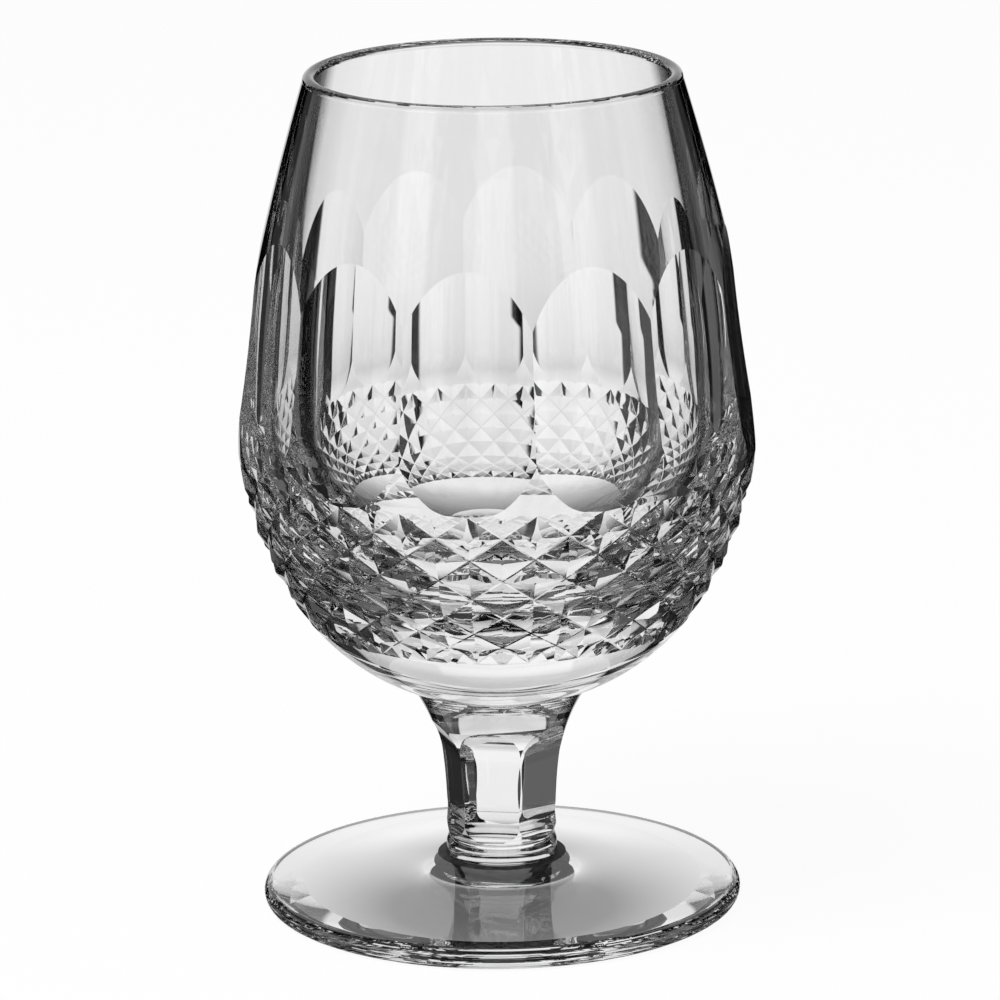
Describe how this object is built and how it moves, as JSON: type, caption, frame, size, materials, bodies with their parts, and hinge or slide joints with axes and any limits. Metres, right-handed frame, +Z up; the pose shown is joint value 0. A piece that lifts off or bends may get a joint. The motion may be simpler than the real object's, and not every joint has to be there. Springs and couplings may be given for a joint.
{
  "type": "cognac glass",
  "caption": "Stemmed cut-crystal cognac glass: tulip bowl with oval cuts over a band of diamond cuts, a short panelled stem and a round foot.",
  "frame": {"origin": "under the middle of the foot, on the table", "axes": "+Z up along the glass's axis, from the foot to the rim; -Y towards the viewer"},
  "size_m": [0.0784, 0.0784, 0.1291],
  "materials": {
    "crystal_bowl": "polished clear crystal",
    "crystal_stem": "polished clear crystal",
    "crystal_foot": "polished clear crystal"
  },
  "bodies": {
    "root": {"bowl": "crystal_bowl", "stem": "crystal_stem", "foot": "crystal_foot"}
  },
  "joints": []
}
